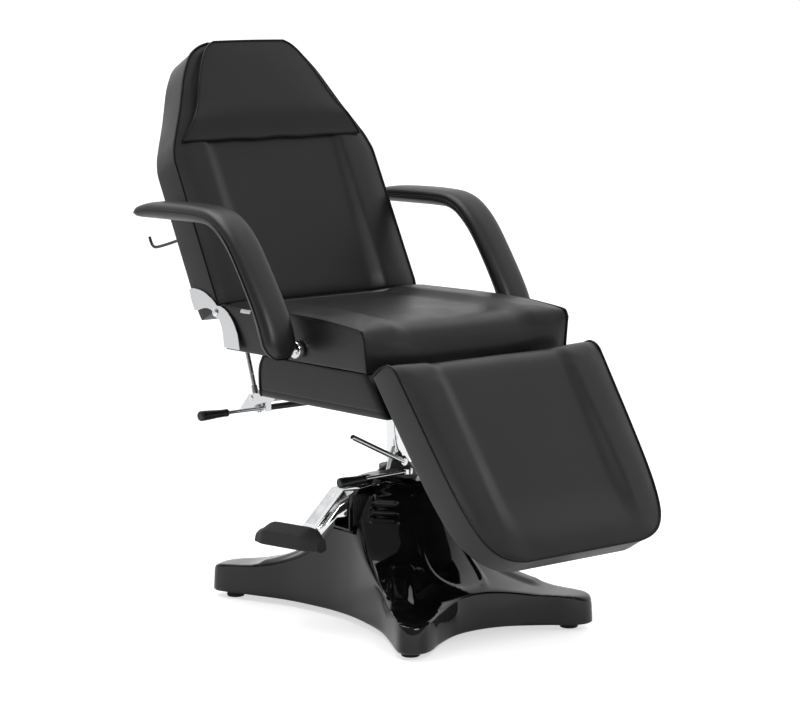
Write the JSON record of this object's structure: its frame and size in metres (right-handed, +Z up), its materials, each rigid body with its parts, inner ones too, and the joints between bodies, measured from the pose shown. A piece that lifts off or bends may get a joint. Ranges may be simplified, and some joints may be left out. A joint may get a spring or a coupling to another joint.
{
  "type": "facial treatment bed",
  "caption": "Reclining salon bed with padded seat, sculpted backrest and head pillow, tilting leg rest, swing armrests and a pedal-pumped column on a four-armed base.",
  "frame": {"origin": "on the floor, at the centre of the bed's overall width and length in the seated pose", "axes": "+Z up, -Y in front (the leg rest's side), +X to the occupant's left"},
  "size_m": [0.798, 1.2864, 1.302],
  "materials": {
    "pad_vinyl": "satin black vinyl-coated upholstery fabric with a fine leather grain, over foam",
    "board": "plywood, covered",
    "arm_board": "plywood, covered",
    "chrome": "bright chrome plate",
    "steel": "black powder coat",
    "shell": "high gloss black",
    "rubber": "moulded black rubber",
    "grip": "moulded black grip"
  },
  "bodies": {
    "base": {"foot_front_right": "rubber", "foot_rear_right": "rubber", "foot_front_left": "rubber", "foot_rear_left": "rubber", "base_frame": "steel", "base_cover": "shell", "hydraulic_cylinder": "steel", "pump_body": "steel", "pump_bracket": "chrome", "lock_collar": "steel", "lever_plate": "steel"},
    "lift": {"column": "chrome"},
    "seat": {"seat_hub": "steel", "seat_frame": "steel", "apron_right": "pad_vinyl", "apron_left": "pad_vinyl", "apron_rear": "pad_vinyl", "apron_front_right": "pad_vinyl", "apron_front_left": "pad_vinyl", "seat_tray": "board", "seat_pad": "pad_vinyl", "seat_hinge_right": "chrome", "seat_hinge_left": "chrome", "recline_pin_right": "chrome", "recline_pin_left": "chrome", "recline_bracket": "chrome", "leg_hinge_seat_right": "steel", "leg_hinge_seat_left": "steel", "arm_pivot_right": "chrome", "arm_pivot_left": "chrome"},
    "backrest": {"back_pad": "pad_vinyl", "back_board": "board", "pillow": "pad_vinyl", "back_frame": "steel", "strut_clevis": "steel", "roll_hook_right": "steel", "roll_hook_left": "steel", "back_hinge_right": "chrome", "back_hinge_left": "chrome"},
    "leg_rest": {"leg_pad": "pad_vinyl", "leg_board": "board", "leg_hinge_leg_right": "steel", "leg_hinge_leg_left": "steel", "leg_strut_clevis": "steel"},
    "arm_right": {"arm_board_right": "arm_board", "arm_pad_right": "pad_vinyl"},
    "arm_left": {"arm_board_left": "arm_board", "arm_pad_left": "pad_vinyl"},
    "pedal": {"pedal_lever": "chrome", "pedal_pad": "rubber"},
    "plunger": {"pump_plunger": "chrome"},
    "lock_lever": {"lock_lever": "chrome", "lock_lever_grip": "grip"},
    "lowering_lever": {"lowering_lever": "chrome"},
    "recline_lever": {"recline_lever": "chrome", "recline_lever_grip": "grip"},
    "recline_clutch": {"recline_clutch": "steel"},
    "recline_rod": {"recline_rod": "chrome"},
    "leg_strut_barrel": {"leg_strut_barrel": "steel"},
    "leg_strut_rod": {"leg_strut_rod": "chrome"}
  },
  "joints": [
    {"name": "lift", "type": "slide", "parent": "base", "child": "lift", "axis": [0, 0, 1], "range_m": [-0.07, 0.06]},
    {"name": "seat_swivel", "type": "hinge", "parent": "lift", "child": "seat", "pos_m": [0, -0.02224, 0.54], "axis": [0, 0, 1], "continuous": true},
    {"name": "back_recline", "type": "hinge", "parent": "seat", "child": "backrest", "pos_m": [0, 0.26276, 0.695], "axis": [-1, 0, 0], "range_deg": [0, 63]},
    {"name": "leg_tilt", "type": "hinge", "parent": "seat", "child": "leg_rest", "pos_m": [0, -0.27324, 0.603], "axis": [-1, 0, 0], "range_deg": [0, 54.7]},
    {"name": "arm_right_swing", "type": "hinge", "parent": "seat", "child": "arm_right", "pos_m": [-0.355, -0.04224, 0.641], "axis": [-1, 0, 0], "range_deg": [0, 60]},
    {"name": "arm_left_swing", "type": "hinge", "parent": "seat", "child": "arm_left", "pos_m": [0.355, -0.04224, 0.641], "axis": [-1, 0, 0], "range_deg": [0, 60]},
    {"name": "pump_pedal", "type": "hinge", "parent": "base", "child": "pedal", "pos_m": [-0.06582, -0.01741, 0.289], "axis": [-0.0732, -0.9973, 0], "range_deg": [0, 15], "stiffness_Nm_per_rad": 14, "springref_deg": -28.65},
    {"name": "pump_plunger", "type": "slide", "parent": "base", "child": "plunger", "axis": [0, 0, -1], "range_m": [0, 0.013]},
    {"name": "swivel_lock", "type": "hinge", "parent": "base", "child": "lock_lever", "pos_m": [-0.01836, -0.08105, 0.339], "axis": [0, 0, 1], "range_deg": [0, 25]},
    {"name": "lowering_release", "type": "hinge", "parent": "base", "child": "lowering_lever", "pos_m": [-0.02361, -0.07064, 0.361], "axis": [-0.0732, -0.9973, 0], "range_deg": [0, 10], "stiffness_Nm_per_rad": 3, "springref_deg": -11.46},
    {"name": "recline_release", "type": "hinge", "parent": "seat", "child": "recline_lever", "pos_m": [-0.15, 0.27776, 0.456], "axis": [0, 1, 0], "range_deg": [0, 10], "stiffness_Nm_per_rad": 3, "springref_deg": -11.46},
    {"name": "clutch_tilt", "type": "hinge", "parent": "seat", "child": "recline_clutch", "pos_m": [-0.15, 0.31576, 0.475], "axis": [1, 0, 0], "range_deg": [0, 4.2]},
    {"name": "recline_rod_slide", "type": "slide", "parent": "recline_clutch", "child": "recline_rod", "axis": [0, 0.3176, 0.9482], "range_m": [-0.1335, 0]},
    {"name": "leg_strut_tilt", "type": "hinge", "parent": "seat", "child": "leg_strut_barrel", "pos_m": [0, -0.21724, 0.56], "axis": [-1, 0, 0], "range_deg": [0, 42]},
    {"name": "leg_strut_slide", "type": "slide", "parent": "leg_strut_barrel", "child": "leg_strut_rod", "axis": [0, -0.8578, -0.5141], "range_m": [0, 0.049]}
  ],
  "couplings": [
    {"joint": "pump_plunger", "follows": "pump_pedal", "m_per_rad": 0.042},
    {"joint": "clutch_tilt", "follows": "back_recline", "ratio": 0.06349},
    {"joint": "recline_rod_slide", "follows": "back_recline", "m_per_rad": -0.12},
    {"joint": "leg_strut_tilt", "follows": "leg_tilt", "ratio": 0.75868},
    {"joint": "leg_strut_slide", "follows": "leg_tilt", "m_per_rad": 0.0505}
  ]
}
